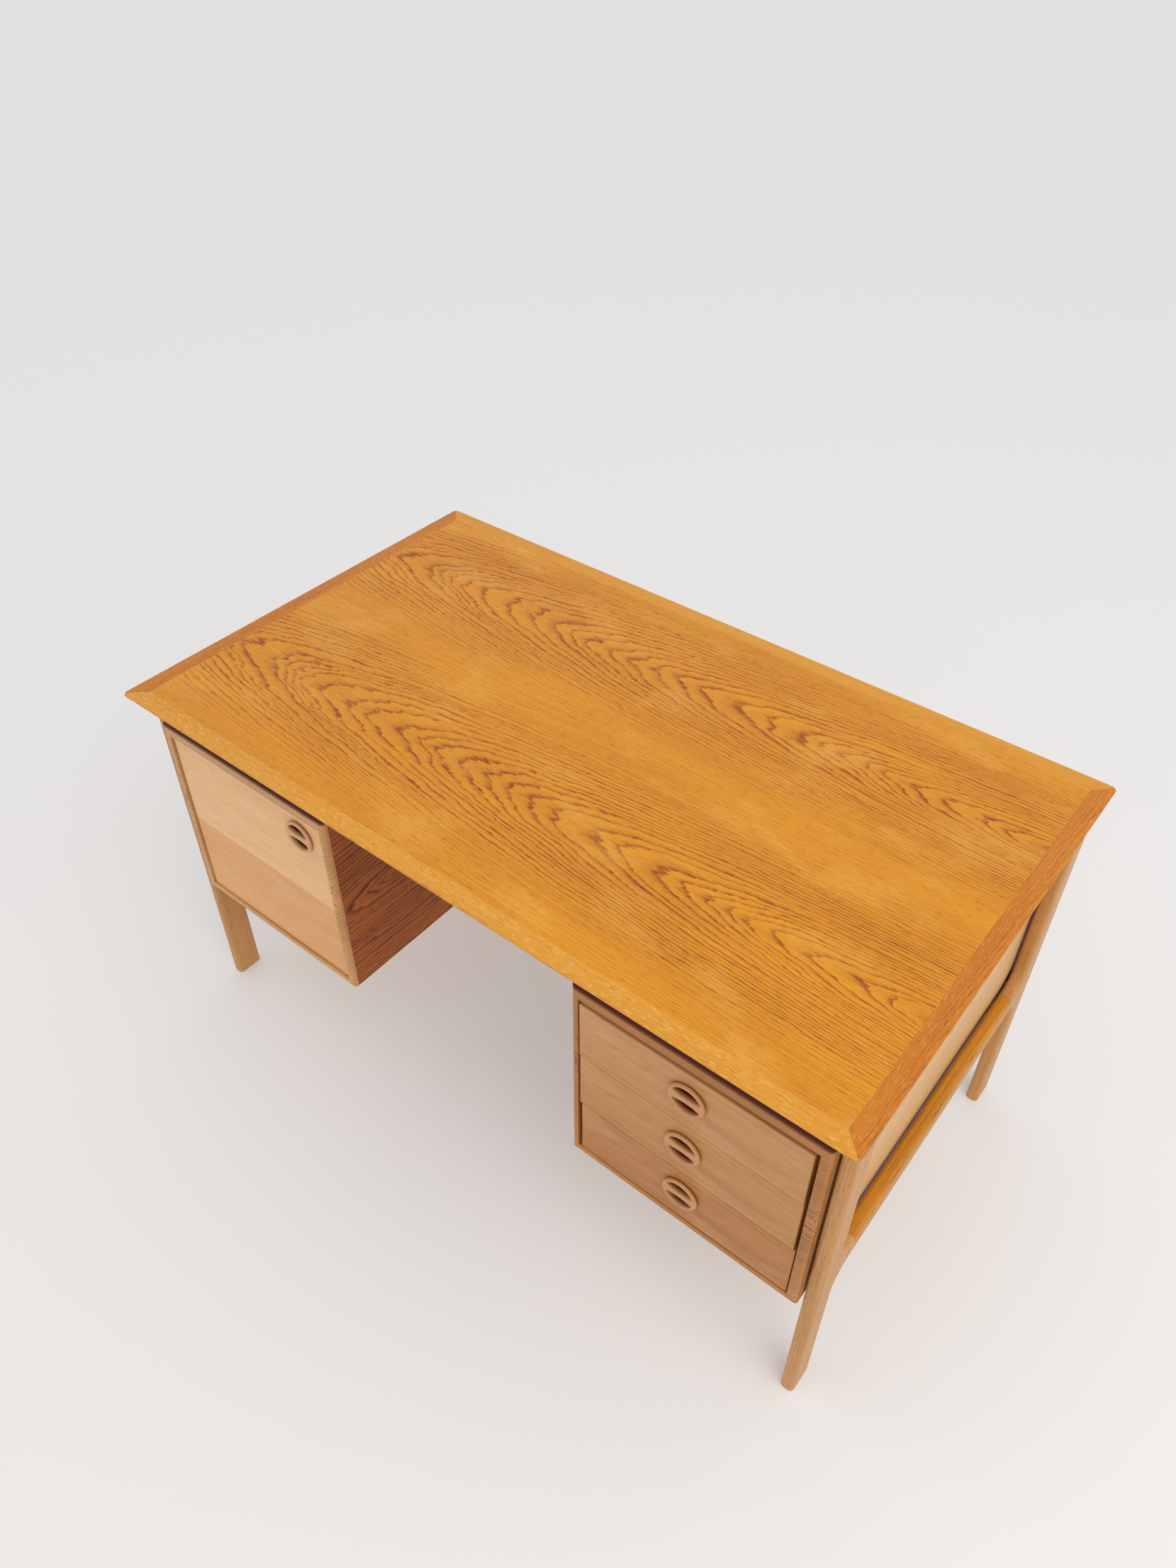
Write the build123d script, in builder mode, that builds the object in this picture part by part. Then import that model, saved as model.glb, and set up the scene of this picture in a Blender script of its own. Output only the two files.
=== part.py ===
from build123d import *
import os

# Writing desk: a veneered top on two side frames, with a cupboard hung under its left end
# and three drawers under its right end. Millimetres, +Z up, floor at z = 0.
# X runs along the desk and +Y towards its back. The origin is on the floor under the top's middle.

# Desk top
desk_length = 1338.0
desk_depth = 780.0
desk_height = 720.0
top_thickness = 22.0
top_corner_radius = 9.0
top_lipping_width = 30.0
top_edge_land = 3.0
top_bevel_run = 22.0
top_edge_round = 1.5
top_land_round = 1.0

# Side frames
leg_inset = 11.0
leg_setback = 40.0
leg_thickness = 22.0
leg_width = 50.0
leg_round = 7.0
foot_round = 2.5
stretcher_height = 300.0
stretcher_width = 43.0
haunch_radius = 38.0
haunch_length = 40.0

# Rails between the cases and the top
rail_height = 37.0
rail_thickness = 22.0
rail_setback = 95.0

# Cases
case_setback = 30.0
case_width = 392.0
case_height = 388.0
case_outer_wall = 16.0
case_inner_wall = 12.0
case_floor_board = 16.0
case_roof_board = 22.0
case_back_board = 12.0
case_lipping_depth = 10.0
case_lipping_round = 8.5
case_lipping_arris = 1.0
case_gap = 4.0
glue_line = 0.1

# Door
front_thickness = 17.0
front_arris = 1.0
door_recess = 4.0
door_gap = 1.5
door_hinge_round = 3.0
door_pull_from_edge = 52.0
door_pull_from_top = 42.0

# Door pivots and catch
pivot_inset = 5.0
pivot_pin_radius = 2.0
pivot_pin_reach = 8.0
pivot_running_gap = 0.08
pivot_bush_radius = 3.5
pivot_bush_length = 10.0
pivot_plate_thickness = 1.0
pivot_plate_length = 30.0
pivot_plate_width = 9.0
catch_length = 40.0
catch_depth = 16.0
catch_height = 12.0
catch_from_edge = 120.0
strike_height = 10.0
strike_thickness = 1.5
catch_gap = 0.4

# Shelf
shelf_thickness = 16.0
shelf_height = 170.0
shelf_side_gap = 0.5
shelf_front_gap = 10.0
shelf_back_gap = 4.0
shelf_pin_radius = 2.5
shelf_pin_depth = 8.0
shelf_pin_from_end = 60.0

# Drawers, listed from the bottom up
drawer_names = ("drawer_bottom", "drawer_middle", "drawer_top")
drawer_shifts = (2.0, -1.5, -2.5)
drawer_recess = 1.5
drawer_face_side_gap = 4.0
drawer_face_gap = 1.0
drawer_bottom_gap = 1.5
drawer_top_gap = 10.5
drawer_box_length = 600.0
drawer_box_lift = 8.0
drawer_box_drop = 16.0
drawer_side_gap = 8.0
drawer_side_thickness = 12.0
drawer_panel_thickness = 5.0
drawer_panel_lift = 6.0
drawer_panel_tongue = 5.0
panel_groove_gap = 0.2

# Drawer runners
runner_height = 9.0
runner_length = 610.0
runner_tongue = 5.5
runner_gap = 0.5
runner_setback = 40.0
runner_end_gap = 1.0

# Turned pulls
pull_radius = 29.0
pull_proud = 7.0
pull_lift = 1.0
pull_spigot_radius = 25.0
pull_hole_gap = 0.2
pull_rise = 7.5
pull_cup_radius = 23.2
pull_cup_depth = 16.0
pull_bar_waist = 8.6
pull_bar_sweep = 68.0
pull_pocket_round = 2.5
pull_rim_round = 2.8
pull_mouth_round = 2.2

# Screws and spacers
screw_radius = 2.5
screw_head_radius = 5.0
screw_head_height = 3.0
screw_gap = 0.05
screw_tip_gap = 1.0
leg_screw_bite = 14.0
leg_screw_from_case_bottom = 47.0
leg_screw_from_case_top = 61.0
spacer_radius = 9.0
top_screw_bite = 12.0
top_screw_spacing = 150.0
counterbore_gap = 0.5
counterbore_depth = 12.0
case_screw_bite = 15.0
case_screw_from_side = 100.0

# Levels and planes that follow from the sizes above
top_underside = desk_height - top_thickness
case_top = top_underside - rail_height
case_bottom = case_top - case_height
opening_bottom = case_bottom + case_floor_board
opening_top = case_top - case_roof_board
case_front = -desk_depth / 2 + case_setback
board_front = case_front + case_lipping_depth
case_back = desk_depth / 2 - case_setback
opening_back = case_back - case_back_board
leg_outside = desk_length / 2 - leg_inset
leg_inside = leg_outside - leg_thickness
leg_front = -desk_depth / 2 + leg_setback
leg_back = leg_front + leg_width
leg_middle = leg_front + leg_width / 2
haunch_end = leg_back + haunch_length
case_outside = leg_inside - case_gap
case_inside = case_outside - case_width
opening_outside = case_outside - case_outer_wall
opening_inside = case_inside + case_inner_wall
rail_front = -desk_depth / 2 + rail_setback
rail_middle = rail_front + rail_thickness / 2
leg_screw_heights = (case_bottom + leg_screw_from_case_bottom, case_top - leg_screw_from_case_top)
screw_hole_radius = screw_radius + screw_gap
rail_rows = (rail_middle, -rail_middle)

os.makedirs("parts", exist_ok=True)


def save(piece, label):
    """Name a finished piece and write its own file"""
    piece.part.label = label
    export_step(piece.part, f"parts/{label}.step")


def board(x_range, y_range, z_range):
    """A square-edged board between two corners"""
    x_low, x_high = sorted(x_range)
    y_low, y_high = sorted(y_range)
    z_low, z_high = sorted(z_range)
    with BuildPart() as block:
        with BuildSketch(Plane.XY.offset(z_low)):
            with Locations(((x_low + x_high) / 2, (y_low + y_high) / 2)):
                Rectangle(x_high - x_low, y_high - y_low)
        extrude(amount=z_high - z_low)
    return block


def drilled(piece, plane, spots, radius, depth):
    """The same piece with round holes sunk along a plane's normal"""
    with BuildPart() as bored:
        add(piece.part)
        with BuildSketch(plane):
            with Locations(*spots):
                Circle(radius)
        extrude(amount=depth, mode=Mode.SUBTRACT)
    return bored


def screws(plane, spots, length):
    """Pan-head screws whose heads sit on a plane and whose shanks run along its normal"""
    with BuildPart() as group:
        with BuildSketch(plane):
            with Locations(*spots):
                Circle(screw_head_radius)
        extrude(amount=-screw_head_height)
        with BuildSketch(plane):
            with Locations(*spots):
                Circle(screw_radius)
        extrude(amount=length)
    return group


def mirrored(piece, plane):
    """The same piece on the other side of a plane"""
    with BuildPart() as other:
        mirror(piece.part, about=plane)
    return other


def front_plane(y):
    """Upright plane facing the front of the desk, with X along the desk and its own Y upwards"""
    return Plane(origin=(0, y, 0), x_dir=(1, 0, 0), z_dir=(0, -1, 0))


def corners(x_low, x_high, y_low, y_high):
    """A rectangle's corners, anticlockwise from the lower left one"""
    return ((x_low, y_low), (x_high, y_low), (x_high, y_high), (x_low, y_high))


def mitre_plane(face, outer, inner, turn):
    """Plane through a mitred corner, turned towards the bar that starts (1) or ends (-1) there"""
    run = inner[0] - outer[0]
    rise = inner[1] - outer[1]
    normal = face.x_dir * (turn * rise) - face.y_dir * (turn * run)
    return Plane(origin=face.from_local_coords((outer[0], outer[1], 0)), z_dir=normal)


def half_plane(face, ring_corners, start, end):
    """Plane through a ring's middle, turned towards the bar that runs between two corners"""
    run = ring_corners[end][0] - ring_corners[start][0]
    rise = ring_corners[end][1] - ring_corners[start][1]
    middle_x = sum(x for x, y in ring_corners) / len(ring_corners)
    middle_y = sum(y for x, y in ring_corners) / len(ring_corners)
    normal = face.x_dir * rise - face.y_dir * run
    return Plane(origin=face.from_local_coords((middle_x, middle_y, 0)), z_dir=normal)


def mitred_bar(ring, face, outer_corners, inner_corners, start, gap):
    """The one bar of a mitred ring that runs from the start corner to the next"""
    end = (start + 1) % len(outer_corners)
    with BuildPart() as bar:
        add(ring.part)
        split(bisect_by=half_plane(face, outer_corners, start, end), keep=Keep.TOP)
        for corner, turn in ((start, 1), (end, -1)):
            cut = mitre_plane(face, outer_corners[corner], inner_corners[corner], turn)
            split(bisect_by=cut.offset(gap / 2), keep=Keep.TOP)
    return bar


# Desk top: a veneered field, and a solid lipping round it, bevelled underneath and mitred
field_length = desk_length - 2 * top_lipping_width
field_depth = desk_depth - 2 * top_lipping_width
top_screw_columns = (-top_screw_spacing, 0, top_screw_spacing)
top_screw_spots = [(x, y) for x in top_screw_columns for y in rail_rows]
land_level = desk_height - top_edge_land
level_tolerance = 0.01

top_field = board(
    (-field_length / 2, field_length / 2), (-field_depth / 2, field_depth / 2), (top_underside, desk_height)
)
underside = Plane.XY.offset(top_underside)
top_field = drilled(top_field, underside, top_screw_spots, screw_hole_radius, top_screw_bite + screw_tip_gap)
save(top_field, "top_field")

with BuildPart() as edge_ring:
    with BuildSketch(underside):
        RectangleRounded(desk_length - 2 * top_bevel_run, desk_depth - 2 * top_bevel_run, top_corner_radius)
    with BuildSketch(Plane.XY.offset(land_level)):
        RectangleRounded(desk_length, desk_depth, top_corner_radius)
    loft()
    with BuildSketch(Plane.XY.offset(land_level)):
        RectangleRounded(desk_length, desk_depth, top_corner_radius)
    extrude(amount=top_edge_land)
    fillet(edge_ring.faces().sort_by(Axis.Z)[-1].edges(), top_edge_round)
    land_edges = edge_ring.edges().filter_by_position(
        Axis.Z, land_level - level_tolerance, land_level + level_tolerance
    )
    fillet(land_edges, top_land_round)
    with BuildSketch(underside):
        Rectangle(field_length, field_depth)
    extrude(amount=top_thickness, mode=Mode.SUBTRACT)

top_outer_corners = corners(-desk_length / 2, desk_length / 2, -desk_depth / 2, desk_depth / 2)
top_inner_corners = corners(-field_length / 2, field_length / 2, -field_depth / 2, field_depth / 2)
for start, side in enumerate(("front", "right", "back", "left")):
    top_lipping = mitred_bar(edge_ring, Plane.XY, top_outer_corners, top_inner_corners, start, 0)
    save(top_lipping, f"top_lipping_{side}")

# Side frames: two legs each, with a haunch that swells into the stretcher, and a hidden top rail
stretcher_top = stretcher_height + stretcher_width
leg_hole_spots = [(leg_middle, z) for z in leg_screw_heights]

with BuildPart() as leg:
    with BuildSketch(Plane.YZ.offset(leg_inside)) as leg_outline:
        with BuildLine():
            Polyline(
                (leg_front, 0),
                (leg_back, 0),
                (leg_back, stretcher_height),
                (haunch_end, stretcher_height),
                (haunch_end, stretcher_top),
                (leg_back, stretcher_top),
                (leg_back, top_underside),
                (leg_front, top_underside),
                close=True,
            )
        make_face()
        haunch_corners = leg_outline.vertices().filter_by(
            lambda v: abs(v.X - leg_back) < level_tolerance and 0 < v.Y < top_underside
        )
        fillet(haunch_corners, haunch_radius)
    extrude(amount=leg_thickness)
    leg_ends = leg.edges().filter_by(
        lambda e: e.center().Z < level_tolerance
        or e.center().Z > top_underside - level_tolerance
        or e.center().Y > haunch_end - level_tolerance
    )
    leg_arrises = leg.edges() - leg.edges().filter_by(Axis.X) - leg_ends
    fillet(leg_arrises, leg_round)
    fillet(leg.faces().sort_by(Axis.Z)[0].edges(), foot_round)
leg = drilled(
    leg, Plane.YZ.offset(leg_inside), leg_hole_spots, screw_hole_radius, leg_screw_bite + screw_tip_gap
)
save(leg, "leg_front_right")
save(mirrored(leg, Plane.XZ), "leg_back_right")
save(mirrored(leg, Plane.YZ), "leg_front_left")
save(mirrored(mirrored(leg, Plane.XZ), Plane.YZ), "leg_back_left")

with BuildPart() as stretcher:
    with BuildSketch(Plane.XZ.offset(haunch_end)):
        with Locations(((leg_inside + leg_outside) / 2, stretcher_height + stretcher_width / 2)):
            RectangleRounded(leg_thickness, stretcher_width, leg_round)
    extrude(amount=-2 * haunch_end)
save(stretcher, "stretcher_right")
save(mirrored(stretcher, Plane.YZ), "stretcher_left")

side_rail = board((leg_inside, leg_outside), (leg_back, -leg_back), (case_top, top_underside))
save(side_rail, "side_rail_right")
save(mirrored(side_rail, Plane.YZ), "side_rail_left")

# Cross rails: they carry the top and the cases, and run between the two side frames
case_screw_columns = (case_inside + case_screw_from_side, case_outside - case_screw_from_side)
case_screw_columns = case_screw_columns + tuple(-x for x in case_screw_columns)
case_top_level = Plane.XY.offset(case_top)

for side, y in zip(("front", "back"), rail_rows):
    rail_y = (y - rail_thickness / 2, y + rail_thickness / 2)
    rail = board((-leg_inside, leg_inside), rail_y, (case_top, top_underside))
    top_spots = [(x, y) for x in top_screw_columns]
    case_spots = [(x, y) for x in case_screw_columns]
    rail = drilled(rail, case_top_level, top_spots, screw_head_radius + counterbore_gap, counterbore_depth)
    rail = drilled(rail, case_top_level, top_spots, screw_hole_radius, rail_height)
    rail = drilled(rail, case_top_level, case_spots, screw_hole_radius, case_screw_bite + screw_tip_gap)
    save(rail, f"cross_rail_{side}")

top_screw_seat = Plane.XY.offset(case_top + counterbore_depth)
top_screw_length = rail_height - counterbore_depth + top_screw_bite
save(screws(top_screw_seat, top_screw_spots, top_screw_length), "top_screws")

case_screw_spots = [(x, y) for x in case_screw_columns for y in rail_rows]
save(screws(Plane.XY.offset(opening_top), case_screw_spots, case_roof_board + case_screw_bite), "case_screws")


# Cases: veneered boards behind a mitred solid lipping, one case at each end of the desk
def case_lipping(direction):
    """Four mitred bars round a case's front edge, as one group"""
    case_x = sorted((direction * case_inside, direction * case_outside))
    opening_x = sorted((direction * opening_inside, direction * opening_outside))
    outer_corners = corners(*case_x, case_bottom, case_top)
    inner_corners = corners(*opening_x, opening_bottom, opening_top)
    face = front_plane(board_front)
    with BuildPart() as ring:
        with BuildSketch(face):
            with Locations((sum(case_x) / 2, (case_bottom + case_top) / 2)):
                Rectangle(case_width, case_height)
        extrude(amount=case_lipping_depth)
        fillet(ring.faces().sort_by(Axis.Y)[0].edges(), case_lipping_round)
        with BuildSketch(face):
            with Locations((sum(opening_x) / 2, (opening_bottom + opening_top) / 2)):
                Rectangle(opening_outside - opening_inside, opening_top - opening_bottom)
        extrude(amount=case_lipping_depth, mode=Mode.SUBTRACT)
        front_face = ring.faces().filter_by(Axis.Y).sort_by(Axis.Y)[0]
        chamfer(front_face.inner_wires()[0].edges(), case_lipping_arris)
    with BuildPart() as bars:
        for start in range(len(outer_corners)):
            bar = mitred_bar(ring, face, outer_corners, inner_corners, start, glue_line)
            add(bar.part)
    return bars


leg_screw_spots = [(y, z) for y in (leg_middle, -leg_middle) for z in leg_screw_heights]
shelf_front = case_front + door_recess + front_thickness + shelf_front_gap
shelf_back = opening_back - shelf_back_gap
shelf_underside = opening_bottom + shelf_height
shelf_pin_rows = (shelf_front + shelf_pin_from_end, shelf_back - shelf_pin_from_end)
shelf_pin_spots = [(y, shelf_underside - shelf_pin_radius) for y in shelf_pin_rows]
case_y = (board_front, case_back)
case_z = (case_bottom, case_top)

for name, direction in (("left", -1), ("right", 1)):
    outer_face = Plane.YZ.offset(direction * opening_outside)
    inner_face = Plane.YZ.offset(direction * opening_inside)
    opening_x = (direction * opening_inside, direction * opening_outside)
    outer_side = board((direction * opening_outside, direction * case_outside), case_y, case_z)
    wall_depth = direction * case_outer_wall
    outer_side = drilled(outer_side, outer_face, leg_screw_spots, screw_hole_radius, wall_depth)
    inner_side = board((direction * case_inside, direction * opening_inside), case_y, case_z)
    if name == "left":
        outer_side = drilled(
            outer_side, outer_face, shelf_pin_spots, shelf_pin_radius, direction * shelf_pin_depth
        )
        inner_side = drilled(
            inner_side, inner_face, shelf_pin_spots, shelf_pin_radius, -direction * shelf_pin_depth
        )
    save(outer_side, f"case_{name}_outer_side")
    save(inner_side, f"case_{name}_inner_side")
    roof = board(opening_x, case_y, (opening_top, case_top))
    roof_columns = [x for x in case_screw_columns if x * direction > 0]
    roof_spots = [(x, y) for x in roof_columns for y in rail_rows]
    roof = drilled(roof, case_top_level, roof_spots, screw_hole_radius, -case_roof_board)
    save(roof, f"case_{name}_roof")
    floor = board(opening_x, case_y, (case_bottom, opening_bottom))
    save(floor, f"case_{name}_floor")
    back = board(opening_x, (opening_back, case_back), (opening_bottom, opening_top))
    save(back, f"case_{name}_back")
    save(case_lipping(direction), f"case_{name}_lipping")

    head_plane = Plane(
        origin=(direction * opening_outside, 0, 0), x_dir=(0, direction, 0), z_dir=(direction, 0, 0)
    )
    head_spots = [(direction * y, z) for y, z in leg_screw_spots]
    leg_screw_length = case_outer_wall + case_gap + leg_screw_bite
    save(screws(head_plane, head_spots, leg_screw_length), f"leg_screws_{name}")
    with BuildPart() as spacers:
        with BuildSketch(head_plane.offset(case_outer_wall)):
            with Locations(*head_spots):
                Circle(spacer_radius)
                Circle(screw_hole_radius, mode=Mode.SUBTRACT)
        extrude(amount=case_gap)
    save(spacers, f"spacers_{name}")

# Shelf in the cupboard, on four pins
shelf_x = (-opening_outside + shelf_side_gap, -opening_inside - shelf_side_gap)
shelf = board(shelf_x, (shelf_front, shelf_back), (shelf_underside, shelf_underside + shelf_thickness))
save(shelf, "shelf")

with BuildPart() as shelf_pins:
    for wall, inward in ((-opening_outside, 1), (-opening_inside, -1)):
        with BuildSketch(Plane.YZ.offset(wall - inward * shelf_pin_depth)):
            with Locations(*shelf_pin_spots):
                Circle(shelf_pin_radius)
        extrude(amount=2 * inward * shelf_pin_depth)
save(shelf_pins, "shelf_pins")


# Turned pulls: a round rim on a spigot, hollowed by two finger pockets with a bar between them
def pull(x, y, z):
    """A pull whose spigot fills the hole in a front with its face at y"""
    face = Plane(origin=(x, y, z), x_dir=(1, 0, 0), z_dir=(0, -1, 0))
    with BuildPart() as turned:
        with BuildSketch(face.offset(-front_thickness)):
            Circle(pull_spigot_radius)
        extrude(amount=front_thickness + pull_proud - pull_rim_round)
        with BuildSketch(face.offset(pull_lift)):
            Circle(pull_radius)
        extrude(amount=pull_proud - pull_lift)
        rim = turned.edges().filter_by(GeomType.CIRCLE).filter_by(
            lambda e: e.radius > pull_radius - level_tolerance
        )
        fillet(rim, pull_rim_round)
        with BuildSketch(face.offset(pull_proud)) as pockets:
            for turn in (1, -1):
                with BuildSketch(face.offset(pull_proud), mode=Mode.PRIVATE) as pocket:
                    Circle(pull_cup_radius)
                    with Locations((0, turn * (pull_bar_waist / 2 + pull_bar_sweep))):
                        Circle(pull_bar_sweep, mode=Mode.INTERSECT)
                    fillet(pocket.vertices(), pull_pocket_round)
                add(pocket.sketch_local)
        extrude(amount=-pull_cup_depth, mode=Mode.SUBTRACT)
        mouth_face = turned.faces().filter_by(Axis.Y).sort_by(Axis.Y)[0]
        mouth_edges = [edge for wire in mouth_face.inner_wires() for edge in wire.edges()]
        fillet(mouth_edges, pull_mouth_round)
    return turned


def front_panel(x_range, y, z_range, pull_x, pull_z):
    """A solid front with softened edges and a through hole for its pull"""
    with BuildPart() as panel:
        add(board(x_range, (y, y + front_thickness), z_range).part)
        with BuildSketch(front_plane(y)):
            with Locations((pull_x, pull_z)):
                Circle(pull_spigot_radius + pull_hole_gap)
        extrude(amount=-front_thickness, mode=Mode.SUBTRACT)
    return panel


# Cupboard door, hung on two pins near its left edge
door_x = (-opening_outside + door_gap, -opening_inside - door_gap)
door_z = (opening_bottom + door_gap, opening_top - door_gap)
door_front = case_front + door_recess
door_back = door_front + front_thickness
door_pull_x = door_x[1] - door_pull_from_edge
door_pull_z = door_z[1] - door_pull_from_top
pivot_x = door_x[0] + pivot_inset
pivot_y = door_front + pivot_inset
pivot_spot = (pivot_x, pivot_y)

with BuildPart() as door:
    add(front_panel(door_x, door_front, door_z, door_pull_x, door_pull_z).part)
    front_face = door.faces().filter_by(Axis.Y).sort_by(Axis.Y)[0]
    fillet(front_face.outer_wire().edges().sort_by(Axis.X)[0], door_hinge_round)
    front_face = door.faces().filter_by(Axis.Y).sort_by(Axis.Y)[0]
    free_edges = front_face.outer_wire().edges().sort_by(Axis.X)[1:]
    chamfer(free_edges, front_arris)
door = drilled(door, Plane.XY.offset(door_z[0]), [pivot_spot], pivot_bush_radius, pivot_bush_length)
door = drilled(door, Plane.XY.offset(door_z[1]), [pivot_spot], pivot_bush_radius, -pivot_bush_length)
save(door, "door_panel")
save(pull(door_pull_x, door_front, door_pull_z), "door_pull")

with BuildPart() as bushes:
    for level, inward in ((door_z[0], 1), (door_z[1], -1)):
        with BuildSketch(Plane.XY.offset(level)):
            with Locations(pivot_spot):
                Circle(pivot_bush_radius)
                Circle(pivot_pin_radius + pivot_running_gap, mode=Mode.SUBTRACT)
        extrude(amount=inward * pivot_bush_length)
save(bushes, "door_bushes")

plate_middle = (-opening_outside + pivot_plate_length / 2, pivot_y)
with BuildPart() as pivots:
    for level, inward in ((opening_bottom, 1), (opening_top, -1)):
        with BuildSketch(Plane.XY.offset(level)):
            with Locations(plate_middle):
                Rectangle(pivot_plate_length, pivot_plate_width)
        extrude(amount=inward * pivot_plate_thickness)
        with BuildSketch(Plane.XY.offset(level)):
            with Locations(pivot_spot):
                Circle(pivot_pin_radius)
        extrude(amount=inward * (door_gap + pivot_pin_reach))
save(pivots, "door_pivots")

catch_x = (door_x[1] - catch_from_edge - catch_length, door_x[1] - catch_from_edge)
catch_front = door_back + strike_thickness + catch_gap
catch = board(catch_x, (catch_front, catch_front + catch_depth), (opening_top - catch_height, opening_top))
save(catch, "door_catch")
strike_z = (opening_top - catch_height, opening_top - catch_height + strike_height)
save(board(catch_x, (door_back, door_back + strike_thickness), strike_z), "door_strike")

# Drawers: a solid front, grooved sides, a back and a thin panel, each drawer on two runners
drawer_stack = opening_top - drawer_top_gap - opening_bottom - drawer_bottom_gap
drawer_gaps = (len(drawer_names) - 1) * drawer_face_gap
drawer_face_height = (drawer_stack - drawer_gaps) / len(drawer_names)
drawer_middle_x = (opening_inside + opening_outside) / 2
drawer_face_width = opening_outside - opening_inside - 2 * drawer_face_side_gap
box_x = (opening_inside + drawer_side_gap, opening_outside - drawer_side_gap)
face_front = case_front + drawer_recess
face_back = face_front + front_thickness
box_back = face_back + drawer_box_length
box_back_front = box_back - drawer_side_thickness
runner_front = case_front + runner_setback
groove_height = runner_height + 2 * runner_gap
inner_x = (box_x[0] + drawer_side_thickness, box_x[1] - drawer_side_thickness)
panel_x = (inner_x[0] - drawer_panel_tongue, inner_x[1] + drawer_panel_tongue)
panel_slot_x = (panel_x[0] - panel_groove_gap, panel_x[1] + panel_groove_gap)
panel_slot_front = face_back - drawer_panel_tongue - panel_groove_gap
runner_tip = (box_x[0] + runner_tongue, box_x[1] - runner_tongue)
groove_floor = (runner_tip[0] + runner_gap, runner_tip[1] - runner_gap)

for level, name in enumerate(drawer_names):
    face_bottom = opening_bottom + drawer_bottom_gap + level * (drawer_face_height + drawer_face_gap)
    face_top = face_bottom + drawer_face_height
    face_middle_x = drawer_middle_x + drawer_shifts[level]
    face_x = (face_middle_x - drawer_face_width / 2, face_middle_x + drawer_face_width / 2)
    pull_z = (face_bottom + face_top) / 2 + pull_rise
    box_bottom = face_bottom + drawer_box_lift
    box_top = face_top - drawer_box_drop
    panel_bottom = box_bottom + drawer_panel_lift
    panel_top = panel_bottom + drawer_panel_thickness
    slot_z = (panel_bottom, panel_top + panel_groove_gap)
    runner_middle = (box_bottom + box_top) / 2
    runner_z = (runner_middle - runner_height / 2, runner_middle + runner_height / 2)
    groove_z = (runner_middle - groove_height / 2, runner_middle + groove_height / 2)
    groove_y = (runner_front - runner_end_gap, box_back)

    with BuildPart() as drawer_front:
        add(front_panel(face_x, face_front, (face_bottom, face_top), face_middle_x, pull_z).part)
        front_face = drawer_front.faces().filter_by(Axis.Y).sort_by(Axis.Y)[0]
        chamfer(front_face.outer_wire().edges(), front_arris)
        add(board(panel_slot_x, (panel_slot_front, face_back), slot_z).part, mode=Mode.SUBTRACT)
    save(drawer_front, f"{name}_front")
    save(pull(face_middle_x, face_front, pull_z), f"{name}_pull")

    with BuildPart() as sides:
        add(board((box_x[0], inner_x[0]), (face_back, box_back), (box_bottom, box_top)).part)
        add(board((inner_x[1], box_x[1]), (face_back, box_back), (box_bottom, box_top)).part)
        add(board((box_x[0], groove_floor[0]), groove_y, groove_z).part, mode=Mode.SUBTRACT)
        add(board((groove_floor[1], box_x[1]), groove_y, groove_z).part, mode=Mode.SUBTRACT)
        add(board(panel_slot_x, (face_back, box_back), slot_z).part, mode=Mode.SUBTRACT)
    save(sides, f"{name}_sides")
    save(board(inner_x, (box_back_front, box_back), (panel_top, box_top)), f"{name}_back")
    panel_y = (face_back - drawer_panel_tongue, box_back)
    save(board(panel_x, panel_y, (panel_bottom, panel_top)), f"{name}_panel")

    with BuildPart() as runners:
        runner_y = (runner_front, runner_front + runner_length)
        add(board((opening_inside, runner_tip[0]), runner_y, runner_z).part)
        add(board((runner_tip[1], opening_outside), runner_y, runner_z).part)
    save(runners, f"{name}_runners")
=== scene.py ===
import math
import bpy
import bmesh
from mathutils import Matrix, Vector


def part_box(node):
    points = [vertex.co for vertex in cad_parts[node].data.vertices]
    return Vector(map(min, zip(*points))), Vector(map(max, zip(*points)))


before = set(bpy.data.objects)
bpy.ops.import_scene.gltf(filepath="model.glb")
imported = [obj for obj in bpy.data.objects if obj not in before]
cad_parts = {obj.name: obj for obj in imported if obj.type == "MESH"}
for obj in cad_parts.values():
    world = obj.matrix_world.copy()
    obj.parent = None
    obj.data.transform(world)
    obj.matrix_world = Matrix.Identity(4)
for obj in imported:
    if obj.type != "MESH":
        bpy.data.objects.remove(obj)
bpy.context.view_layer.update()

scene = bpy.context.scene
scene.view_settings.view_transform = "Standard"

# Desk top, veneered field. Two leaves of flat-sawn oak veneer, sliced from one log and slipped side by
# side along the desk, so the same flame figure runs twice. Oiled and gone honey-orange with age.
MM = 0.001
ALONG_X = (Vector((1, 0, 0)), Vector((0, 1, 0)))
NO_LEAF = 0.0


def colour(code):
    """sRGB hex to the linear colour that a shader socket takes"""
    parts = [int(code[i:i + 2], 16) / 255 for i in (1, 3, 5)]
    linear = [c / 12.92 if c <= 0.04045 else ((c + 0.055) / 1.055) ** 2.4 for c in parts]
    return (*linear, 1.0)


def add_node(tree, kind, settings=None, links=None):
    """One node with its settings (attributes or socket values) and the links into it"""
    node = tree.nodes.new(kind)
    for key, value in (settings or {}).items():
        if key == "stops":
            ramp = node.color_ramp
            while len(ramp.elements) < len(value):
                ramp.elements.new(0.5)
            for element, (place, shade) in zip(ramp.elements, value):
                element.position = place
                element.color = (shade, shade, shade, 1.0)
        elif isinstance(key, str) and hasattr(node, key):
            setattr(node, key, value)
        else:
            node.inputs[key].default_value = value
    for key, socket in (links or {}).items():
        tree.links.new(socket, node.inputs[key])
    return node


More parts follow.
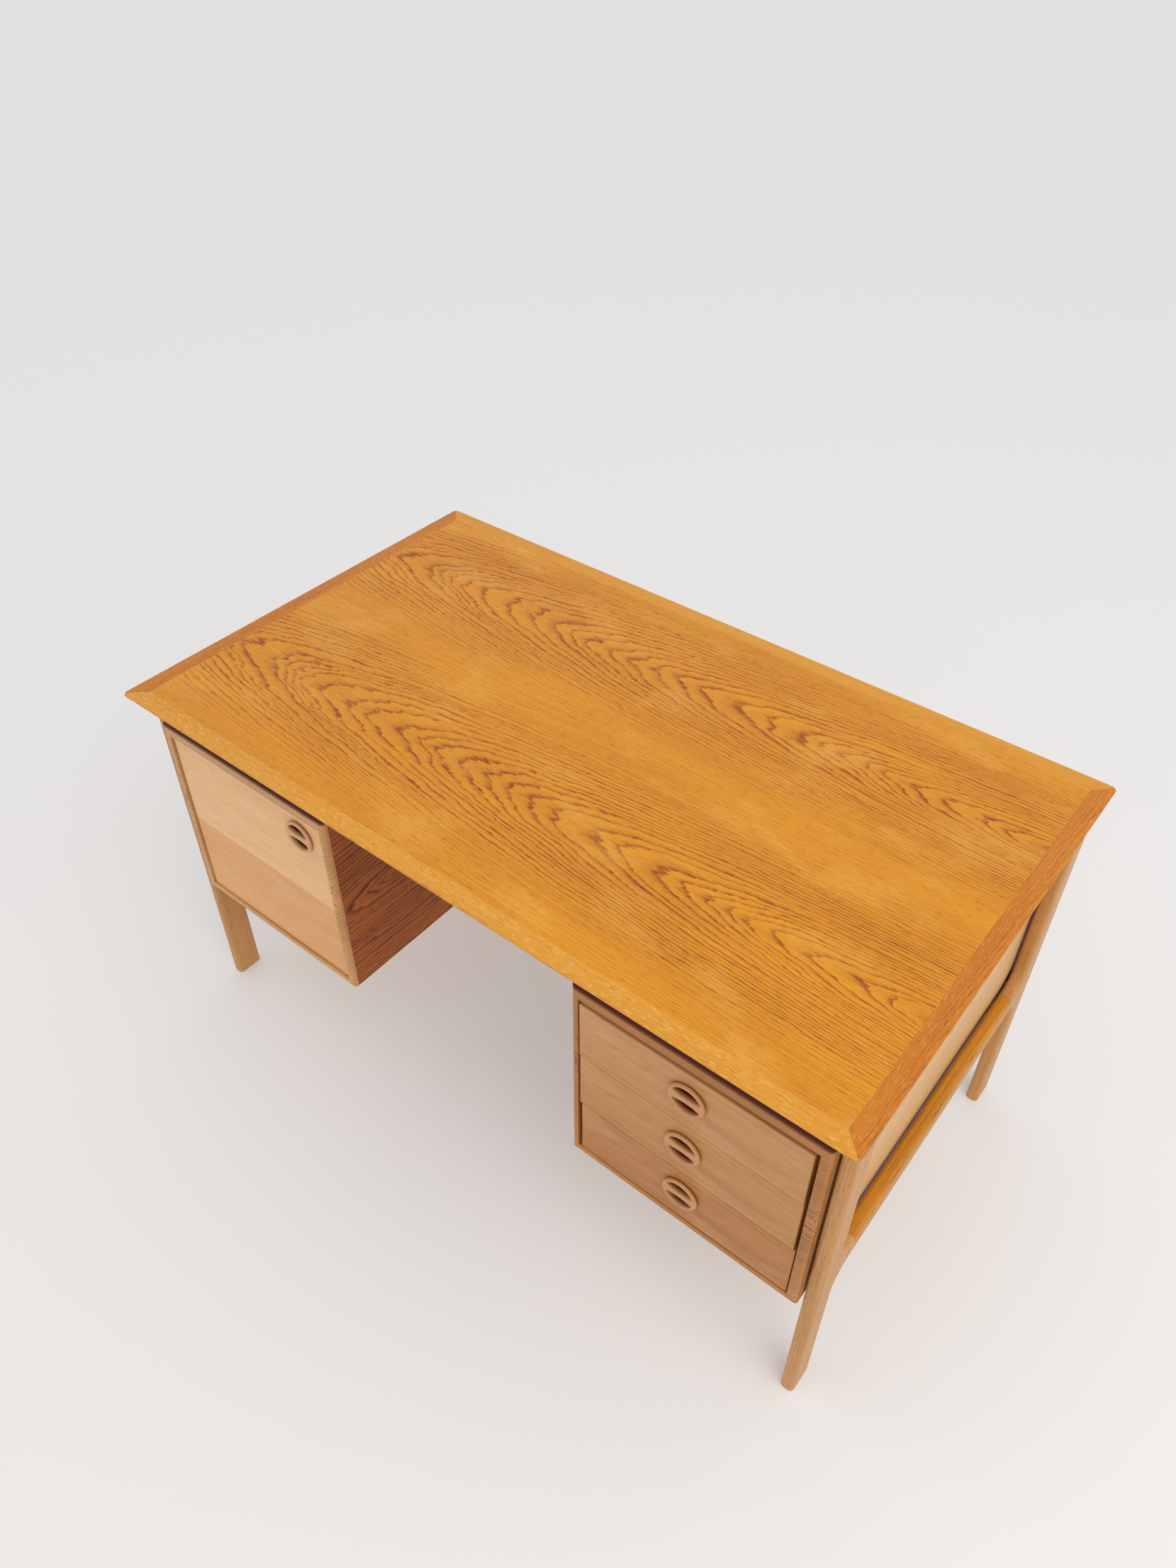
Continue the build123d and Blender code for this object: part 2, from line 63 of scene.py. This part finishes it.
def oak(name, light, dark, centre, grain=ALONG_X, heart=(0.0, 0.07), climb=0.0, ring=5.0, leaf=NO_LEAF,
        flame=1.6, teeth=0.6, reach=0.095, line=0.75, worn="#FFFFFF", wear=0.0, pore="#5A2C0C",
        pores=0.45, rough=0.42, drift=6.0, tone=0.22, bump=0.12, fleck="#E9BE6E", flecks=0.0,
        split=None, painted_shade=None):
    """Oiled oak cut from one log: growth rings round a heart line, long open pores and slow drifts of
    colour. heart is the log's middle, across and below the face in metres, and climb is how fast the
    cut leaves it along the grain, which is what draws the flames. leaf is the width of one veneer leaf
    and reach is how far from the heart the rings stay strong, both in metres. ring, flame, teeth, drift
    and bump are in millimetres. split is a height, a tint and an amount. The last argument paints shade
    into the colour: an axis, the lowest place it reaches, where it starts, where it is full, and its
    colour."""
    material = bpy.data.materials.new(name)
    material.use_nodes = True
    tree = material.node_tree
    tree.nodes.clear()
    along, across = grain
    turn = Matrix((along, across, along.cross(across)))
    spot = add_node(tree, "ShaderNodeTexCoord")
    place = add_node(tree, "ShaderNodeMapping", {
        "Rotation": turn.to_euler(), "Location": -(turn @ Vector(centre))},
        {"Vector": spot.outputs["Object"]})
    parts = add_node(tree, "ShaderNodeSeparateXYZ", None, {0: place.outputs[0]})
    across_socket = parts.outputs[1]
    if leaf:
        across_socket = add_node(tree, "ShaderNodeMath", {
            "operation": "WRAP", 1: leaf / 2, 2: -leaf / 2}, {0: across_socket}).outputs[0]

    def stretched(scale, detail, distortion=0.0, roughness=0.55):
        """Noise stretched along the grain; scale is how many blobs a metre holds along and across"""
        longer = add_node(tree, "ShaderNodeVectorMath", {
            "operation": "MULTIPLY", 1: (scale[0], scale[1], scale[1])}, {0: place.outputs[0]})
        return add_node(tree, "ShaderNodeTexNoise", {
            "Scale": 1.0, "Detail": detail, "Roughness": roughness, "Distortion": distortion},
            {"Vector": longer.outputs[0]}).outputs[0]

    def swing(noise, amount):
        """Noise turned into a shift of plus or minus amount"""
        return add_node(tree, "ShaderNodeMath", {
            "operation": "MULTIPLY_ADD", 1: 2 * amount, 2: -amount}, {0: noise}).outputs[0]

    def product(first, second):
        return add_node(tree, "ShaderNodeMath", {"operation": "MULTIPLY"}, {0: first, 1: second}).outputs[0]

    def total(first, second):
        return add_node(tree, "ShaderNodeMath", {"operation": "ADD"}, {0: first, 1: second}).outputs[0]

    off_heart = add_node(tree, "ShaderNodeMath", {"operation": "ADD", 1: -heart[0]}, {0: across_socket})
    off_heart = total(off_heart.outputs[0], swing(stretched((1.6, 3.0), 2.0), drift * MM))
    rise = add_node(tree, "ShaderNodeMath", {
        "operation": "MULTIPLY_ADD", 1: climb, 2: heart[1]}, {0: parts.outputs[0]}).outputs[0]
    depth = total(rise, parts.outputs[2])
    spoke = add_node(tree, "ShaderNodeCombineXYZ", None, {1: off_heart, 2: depth})
    radius = add_node(tree, "ShaderNodeVectorMath", {"operation": "LENGTH"}, {0: spoke.outputs[0]}).outputs[1]
    radius = total(radius, swing(stretched((8.0, 30.0), 3.0), flame * MM))
    radius = total(radius, swing(stretched((40.0, 240.0), 2.0), teeth * MM))

    # Good and bad years come in runs of about eight rings, and shift them by up to 2.6 ring widths
    runs = add_node(tree, "ShaderNodeMath", {"operation": "MULTIPLY", 1: 0.13 / (ring * MM)}, {0: radius})
    years = add_node(tree, "ShaderNodeTexNoise", {
        "noise_dimensions": "1D", "Scale": 1.0, "Detail": 2.0}, {"W": runs.outputs[0]})
    radius = total(radius, swing(years.outputs[0], 2.6 * ring * MM))
    rings = add_node(tree, "ShaderNodeMath", {"operation": "DIVIDE", 1: ring * MM}, {0: radius}).outputs[0]
    phase = add_node(tree, "ShaderNodeMath", {"operation": "FRACT"}, {0: rings}).outputs[0]
    early = add_node(tree, "ShaderNodeValToRGB", {"stops": (
        (0.0, 0.95), (0.12, 1.0), (0.23, 0.40), (0.50, 0.08), (0.95, 0.0), (1.0, 0.95))},
        {0: phase}).outputs[0]
    away = add_node(tree, "ShaderNodeMath", {"operation": "ABSOLUTE"}, {0: off_heart}).outputs[0]
    fading = add_node(tree, "ShaderNodeMapRange", {
        1: reach, 2: 1.7 * reach, 3: 1.0, 4: 0.3}, {0: away}).outputs[0]
    uneven = add_node(tree, "ShaderNodeMapRange", {1: 0.3, 2: 0.6, 3: 0.4, 4: 1.0},
                      {0: stretched((6.0, 70.0), 2.0)}).outputs[0]
    early = product(product(early, uneven), fading)

    # Pores are about 0.3 mm wide; they are drawn 1 mm wide and 14 mm long, so that they still show
    dashes = add_node(tree, "ShaderNodeMapRange", {1: 0.54, 2: 0.66},
                      {0: stretched((55.0, 640.0), 2.0)}).outputs[0]
    in_rings = add_node(tree, "ShaderNodeMath", {"operation": "MULTIPLY_ADD", 1: 0.7, 2: 0.3}, {0: early})
    dashes = product(dashes, in_rings.outputs[0])

    fibres = add_node(tree, "ShaderNodeMapRange", {1: 0.3, 2: 0.7, 3: 0.0, 4: tone},
                      {0: stretched((4.0, 150.0), 4.0)}).outputs[0]
    drifts = add_node(tree, "ShaderNodeMapRange", {1: 0.35, 2: 0.65, 3: 0.0, 4: tone},
                      {0: stretched((2.2, 9.0), 3.0)}).outputs[0]
    shade = add_node(tree, "ShaderNodeMath", {"operation": "MULTIPLY_ADD", 1: line}, {0: early, 2: fibres})
    shade = add_node(tree, "ShaderNodeMath", {"operation": "ADD", "use_clamp": True}, {
        0: shade.outputs[0], 1: drifts})
    wood = add_node(tree, "ShaderNodeMix", {"data_type": "RGBA", 6: colour(light), 7: colour(dark)},
                    {0: shade.outputs[0]}).outputs[2]
    if wear:
        rubbed = add_node(tree, "ShaderNodeMapRange", {1: 0.52, 2: 0.72, 3: 0.0, 4: wear},
                          {0: stretched((5.0, 11.0), 3.0, 0.3)}).outputs[0]
        wood = add_node(tree, "ShaderNodeMix", {"data_type": "RGBA", 7: colour(worn)},
                        {0: rubbed, 6: wood}).outputs[2]
    if flecks:
        rays = add_node(tree, "ShaderNodeMapRange", {1: 0.55, 2: 0.68, 3: 0.0, 4: flecks},
                        {0: stretched((90.0, 520.0), 2.0)}).outputs[0]
        wood = add_node(tree, "ShaderNodeMix", {"data_type": "RGBA", 7: colour(fleck)},
                        {0: rays, 6: wood}).outputs[2]
    if split:
        height, tint, amount = split
        below = add_node(tree, "ShaderNodeMath", {"operation": "LESS_THAN", 1: height}, {0: across_socket})
        tinted = add_node(tree, "ShaderNodeMath", {"operation": "MULTIPLY", 1: amount}, {0: below.outputs[0]})
        wood = add_node(tree, "ShaderNodeMix", {
            "data_type": "RGBA", "blend_type": "MULTIPLY", 7: colour(tint)},
            {0: tinted.outputs[0], 6: wood}).outputs[2]
    deep = add_node(tree, "ShaderNodeMath", {"operation": "MULTIPLY", 1: pores}, {0: dashes}).outputs[0]
    wood = add_node(tree, "ShaderNodeMix", {"data_type": "RGBA", 7: colour(pore)},
                    {0: deep, 6: wood}).outputs[2]
    # Painted shade: the colour darkens along one axis, towards a recess or the side that lies under the top
    if painted_shade:
        axis, lowest, shade_starts, dark_from, shade_colour = painted_shade
        level = parts.outputs[axis]
        inside = add_node(tree, "ShaderNodeMapRange", {1: shade_starts, 2: dark_from}, {0: level})
        above = add_node(tree, "ShaderNodeMath", {"operation": "GREATER_THAN", 1: lowest}, {0: level})
        inside = product(inside.outputs[0], above.outputs[0])
        wood = add_node(tree, "ShaderNodeMix", {"data_type": "RGBA", 7: colour(shade_colour)},
                        {0: inside, 6: wood}).outputs[2]
    sheen = add_node(tree, "ShaderNodeMapRange", {3: rough, 4: rough + 0.2}, {0: dashes}).outputs[0]
    valleys = add_node(tree, "ShaderNodeMath", {"operation": "MULTIPLY_ADD", 1: 0.3}, {0: early, 2: dashes})
    relief = add_node(tree, "ShaderNodeBump", {"Strength": 0.6, "Distance": bump * MM, "invert": True},
                      {"Height": valleys.outputs[0]})
    surface = add_node(tree, "ShaderNodeBsdfPrincipled", {"IOR": 1.5, "Specular IOR Level": 0.3}, {
        "Base Color": wood, "Roughness": sheen, "Normal": relief.outputs[0]})
    add_node(tree, "ShaderNodeOutputMaterial", None, {0: surface.outputs[0]})
    return material


def finish(node, material):
    """Puts a material on a CAD node's own slots"""
    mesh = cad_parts[node].data
    mesh.materials.clear()
    mesh.materials.append(material)


def middle(node):
    """The middle of a CAD node, in metres"""
    low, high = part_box(node)
    return (low + high) / 2


LEAF_WIDTH = 0.372
FIRST_LEAF_MIDDLE = 0.018
DESK_HEIGHT = 0.720
leaf_join = Vector((0.0, FIRST_LEAF_MIDDLE + LEAF_WIDTH / 2, DESK_HEIGHT))
finish("top_field", oak("oiled oak veneer, top leaves", "#DC9318", "#964402", leaf_join, heart=(0.0, 0.088),
       climb=-0.11, ring=5.0, leaf=LEAF_WIDTH, flame=5.5, teeth=1.6, line=0.8, worn="#E8AE4C", wear=0.35,
       pores=0.85, tone=0.17))

# Desk top, lipping. Four bars of solid oak glued round the veneered field and mitred at the corners,
# planed to a thin edge over a wide bevel. The end bars are quarter-sawn and redder.
ALONG_Y = (Vector((0, 1, 0)), Vector((1, 0, 0)))
for side, flecks in (("front", 0.5), ("back", 0.0)):
    node = f"top_lipping_{side}"
    finish(node, oak(f"oiled oak, {side} lipping", "#DC9A30", "#B66C10", middle(node), heart=(0.10, 0.03),
           ring=3.5, line=0.3, flecks=flecks))
for side in ("left", "right"):
    node = f"top_lipping_{side}"
    finish(node, oak(f"oiled oak, {side} lipping", "#CF7E18", "#944806", middle(node), grain=ALONG_Y,
           heart=(0.02, 0.05), ring=2.0, climb=0.02, line=0.4, flecks=0.3, fleck="#E2A868"))

# Side frames. Each is two legs of solid oak with the stretcher's haunches left on them, a stretcher
# glued between, and a rail hidden under the top. All arrises are rounded by hand.
UPRIGHT = (Vector((0, 0, 1)), Vector((0, 1, 0)))
for side in ("left", "right"):
    for end in ("front", "back"):
        node = f"leg_{end}_{side}"
        finish(node, oak(f"oiled oak, {end} {side} leg", "#CE9A5E", "#A2662C", middle(node), grain=UPRIGHT,
               heart=(0.03, 0.05), ring=2.6, climb=0.01, line=0.45))
    for node in (f"stretcher_{side}", f"side_rail_{side}"):
        finish(node, oak(f"oiled oak, {node.replace('_', ' ')}", "#D18E24", "#98580C", middle(node),
               grain=ALONG_Y, heart=(0.03, 0.04), ring=2.8, climb=0.02, line=0.45))

# Cross rails, spacers and screws. Two plain oak rails tie the side frames together and carry the top
# and the cases; zinc-plated wood screws and turned spacers hold it all.
for side in ("front", "back"):
    node = f"cross_rail_{side}"
    finish(node, oak(f"unfinished oak, {side} cross rail", "#C79A68", "#9C6C3C", middle(node), rough=0.6,
           heart=(0.02, 0.04), ring=3.0, line=0.4))
# The spacers are coloured darker than the other oak: painted shade of the gap under the top
for side in ("left", "right"):
    node = f"spacers_{side}"
    finish(node, oak(f"oiled oak, {side} spacers", "#A8703A", "#7C4A20", middle(node), grain=ALONG_Y))


def smooth(name, shade, rough, metallic=1.0):
    """A plain surface with the faint smears that handling leaves"""
    material = bpy.data.materials.new(name)
    material.use_nodes = True
    tree = material.node_tree
    tree.nodes.clear()
    spot = add_node(tree, "ShaderNodeTexCoord")
    smear = add_node(tree, "ShaderNodeTexNoise", {"Scale": 260.0, "Detail": 3.0}, {
        "Vector": spot.outputs["Object"]})
    sheen = add_node(tree, "ShaderNodeMapRange", {3: rough - 0.08, 4: rough + 0.08}, {0: smear.outputs[0]})
    surface = add_node(tree, "ShaderNodeBsdfPrincipled", {
        "Base Color": colour(shade), "Metallic": metallic}, {"Roughness": sheen.outputs[0]})
    add_node(tree, "ShaderNodeOutputMaterial", None, {0: surface.outputs[0]})
    return material


zinc = smooth("zinc-plated steel screws", "#B9B8B2", 0.34)
for node in ("top_screws", "case_screws", "leg_screws_left", "leg_screws_right"):
    finish(node, zinc)

# Cases. Boards veneered in flat-sawn oak, the grain running from front to back on the sides, with a
# mitred frame of solid oak glued round the front edge and its outer arris well rounded.
# The top of each frame is darkened with painted shade, the shade that falls under the desk top.
ON_SIDE = (Vector((0, 1, 0)), Vector((0, 0, 1)))
ON_BACK = (Vector((1, 0, 0)), Vector((0, 0, 1)))
# Painted shade along the top of each case frame, under the overhang of the desk top
PAINTED_SHADE_UNDER_TOP = (1, 0.0, 0.1855, 0.191, "#4C1204")
for side in ("left", "right"):
    node = f"case_{side}_outer_side"
    finish(node, oak(f"oiled oak veneer, {side} case outer side", "#E0B47E", "#C08C52", middle(node),
           grain=ON_SIDE, heart=(0.02, 0.05), climb=0.12, ring=5.0, flame=3.0, line=0.35))
    # The inner sides face into the kneehole and are coloured far darker and redder than the outer sides:
    # painted shade. The strong flame figure is the veneer's own.
    node = f"case_{side}_inner_side"
    finish(node, oak(f"oiled oak veneer, {side} case inner side", "#B8641A", "#561A02", middle(node),
           grain=ON_SIDE, heart=(-0.01, 0.05), climb=0.25, ring=9.0, flame=11.0, teeth=2.4, line=0.85,
           drift=22.0, reach=0.2, pores=0.7))
    for board in ("roof", "floor"):
        node = f"case_{side}_{board}"
        finish(node, oak(f"oiled oak veneer, {side} case {board}", "#D6A468", "#B07838", middle(node),
               grain=ALONG_Y, heart=(0.03, 0.06), climb=0.05, ring=4.5, line=0.5))
    node = f"case_{side}_back"
    finish(node, oak(f"oiled oak veneer, {side} case back", "#DDAC72", "#B5793C", middle(node), grain=ON_BACK,
           heart=(0.01, 0.06), climb=0.07, ring=4.5, flame=2.0, line=0.55))
    node = f"case_{side}_lipping"
    light, dark = ("#D3A068", "#94602C") if side == "left" else ("#C0803C", "#6C320C")
    finish(node, oak(f"oiled oak, {side} case lipping", light, dark, middle(node), grain=ON_BACK, rough=0.3,
           heart=(0.03, 0.04), ring=4.0, flame=3.0, line=0.6, painted_shade=PAINTED_SHADE_UNDER_TOP))

# Shelf. One veneered board on four steel pins in drilled holes.
finish("shelf", oak("oiled oak veneer, shelf", "#D6A468", "#B07838", middle("shelf"), heart=(0.05, 0.05),
       climb=0.06, ring=4.5, line=0.5))
finish("shelf_pins", smooth("nickel-plated steel shelf pins", "#C4C2BB", 0.3))

# Door. A veneered board with a straight split of tone across it, hung on two brass pivots and
# held by a small catch. Its turned oak pull is glued into a through hole; its pockets are darkened
# with painted shade.
finish("door_panel", oak("oiled oak veneer, door", "#EFC08B", "#D79E62", middle("door_panel"), grain=ON_BACK,
       heart=(0.3, 0.2), ring=2.4, line=0.25, pores=0.4, tone=0.3, worn="#F2CC9E", wear=0.4,
       split=(-0.008, "#F5E5CE", 1.0)))
# Painted shade deep in the pockets of every pull, below the front of the rim
PAINTED_SHADE_IN_POCKETS = (2, -0.008, 0.0095, 0.003, "#5A2008")
pull_oak = oak("turned oak, door pull", "#D9A877", "#B57A48", middle("door_pull"), grain=ON_BACK,
               heart=(0.05, 0.02), ring=2.2, line=0.35, pores=0.3, rough=0.3, painted_shade=PAINTED_SHADE_IN_POCKETS)
finish("door_pull", pull_oak)
brass = smooth("rolled brass pivots", "#D9B36A", 0.32)
finish("door_bushes", brass)
finish("door_pivots", brass)
finish("door_catch", smooth("cream polyamide catch", "#D8CDB4", 0.5, metallic=0.0))
finish("door_strike", zinc)

# Drawers. Solid oak fronts with a turned pull each, beech sides grooved for the runners, and a thin
# plywood panel.
for level, name in enumerate(("drawer_bottom", "drawer_middle", "drawer_top")):
    node = f"{name}_front"
    light, dark = (("#BE8349", "#965424"), ("#C79156", "#A06230"), ("#CC9760", "#A66A38"))[level]
    finish(node, oak(f"oiled oak, {name.replace('_', ' ')} front", light, dark, middle(node),
           grain=ON_BACK, heart=(0.2 + 0.05 * level, 0.2), ring=2.4, line=0.3, pores=0.5,
           tone=0.32, worn="#DCAE78", wear=0.4))
    # Each drawer pull's pockets carry the same painted shade
    node = f"{name}_pull"
    finish(node, oak(f"turned oak, {name.replace('_', ' ')} pull", "#CE9766", "#A86B3A", middle(node),
           grain=ON_BACK, heart=(0.05, 0.02), ring=2.2, line=0.35, pores=0.3, rough=0.3, painted_shade=PAINTED_SHADE_IN_POCKETS))
    for board, grain in (("sides", ON_SIDE), ("back", ON_BACK), ("panel", ALONG_X), ("runners", ON_SIDE)):
        node = f"{name}_{board}"
        finish(node, oak(f"plain beech, {name.replace('_', ' ')} {board}", "#DDBB93", "#C79B6C", middle(node),
               grain=grain, heart=(0.1, 0.1), ring=3.0, line=0.25, pores=0.15, rough=0.55))

# Floor, light and camera: a pale seamless floor that glows faintly, painted light that lifts the
# shadows under the desk, one large soft light from the upper right, and a pale surround.
FLOOR_HALF = 14.0
FLOOR_GLOW = 0.2
FLOOR_GLOSS = 0.1
floor_mesh = bmesh.new()
bmesh.ops.create_grid(floor_mesh, x_segments=1, y_segments=1, size=FLOOR_HALF)
mesh = bpy.data.meshes.new("floor")
floor_mesh.to_mesh(mesh)
floor_mesh.free()
floor = bpy.data.objects.new("floor", mesh)
scene.collection.objects.link(floor)
paint = smooth("pale matt floor", "#CDCCCB", 0.7, metallic=0.0)
# The floor's glow is painted light: it fills the shadows under and around the desk
for node in paint.node_tree.nodes:
    if node.type == "BSDF_PRINCIPLED":
        node.inputs["Emission Color"].default_value = colour("#FFFDFB")
        node.inputs["Emission Strength"].default_value = FLOOR_GLOW
        node.inputs["Specular IOR Level"].default_value = FLOOR_GLOSS
floor.data.materials.append(paint)

world = bpy.data.worlds.new("surround")
world.use_nodes = True
world.node_tree.nodes["Background"].inputs["Color"].default_value = colour("#F2F2F4")
world.node_tree.nodes["Background"].inputs["Strength"].default_value = 1.0
scene.world = world


DESK_MIDDLE = Vector((0, 0, 0.5))


def soft_light(name, spot, size, power, tint):
    """A large square lamp that faces the middle of the desk"""
    lamp = bpy.data.lights.new(name, "AREA")
    lamp.size = size
    lamp.energy = power
    lamp.color = colour(tint)[:3]
    holder = bpy.data.objects.new(name, lamp)
    holder.location = spot
    holder.rotation_euler = (DESK_MIDDLE - Vector(spot)).to_track_quat("-Z", "Y").to_euler()
    scene.collection.objects.link(holder)


LAMP_SIZE = 2.6
LAMP_POWER = 48.0
soft_light("window light", (2.4, -0.9, 3.2), LAMP_SIZE, LAMP_POWER, "#FFFBF4")

LENS = 26.79
SENSOR = 36.0
CAMERA_SPOT = (0.8564, -1.0984, 1.8631)
TURN, DOWN, ROLL = (math.radians(angle) for angle in (38.51, 41.61, 0.17))
lens = bpy.data.cameras.new("camera")
lens.lens = LENS
lens.sensor_width = SENSOR
lens.clip_end = 60.0
camera = bpy.data.objects.new("camera", lens)
camera.location = CAMERA_SPOT
aimed = Matrix.Rotation(TURN, 3, "Z") @ Matrix.Rotation(math.pi / 2 - DOWN, 3, "X")
camera.rotation_euler = (aimed @ Matrix.Rotation(ROLL, 3, "Z")).to_euler()
scene.collection.objects.link(camera)
scene.camera = camera
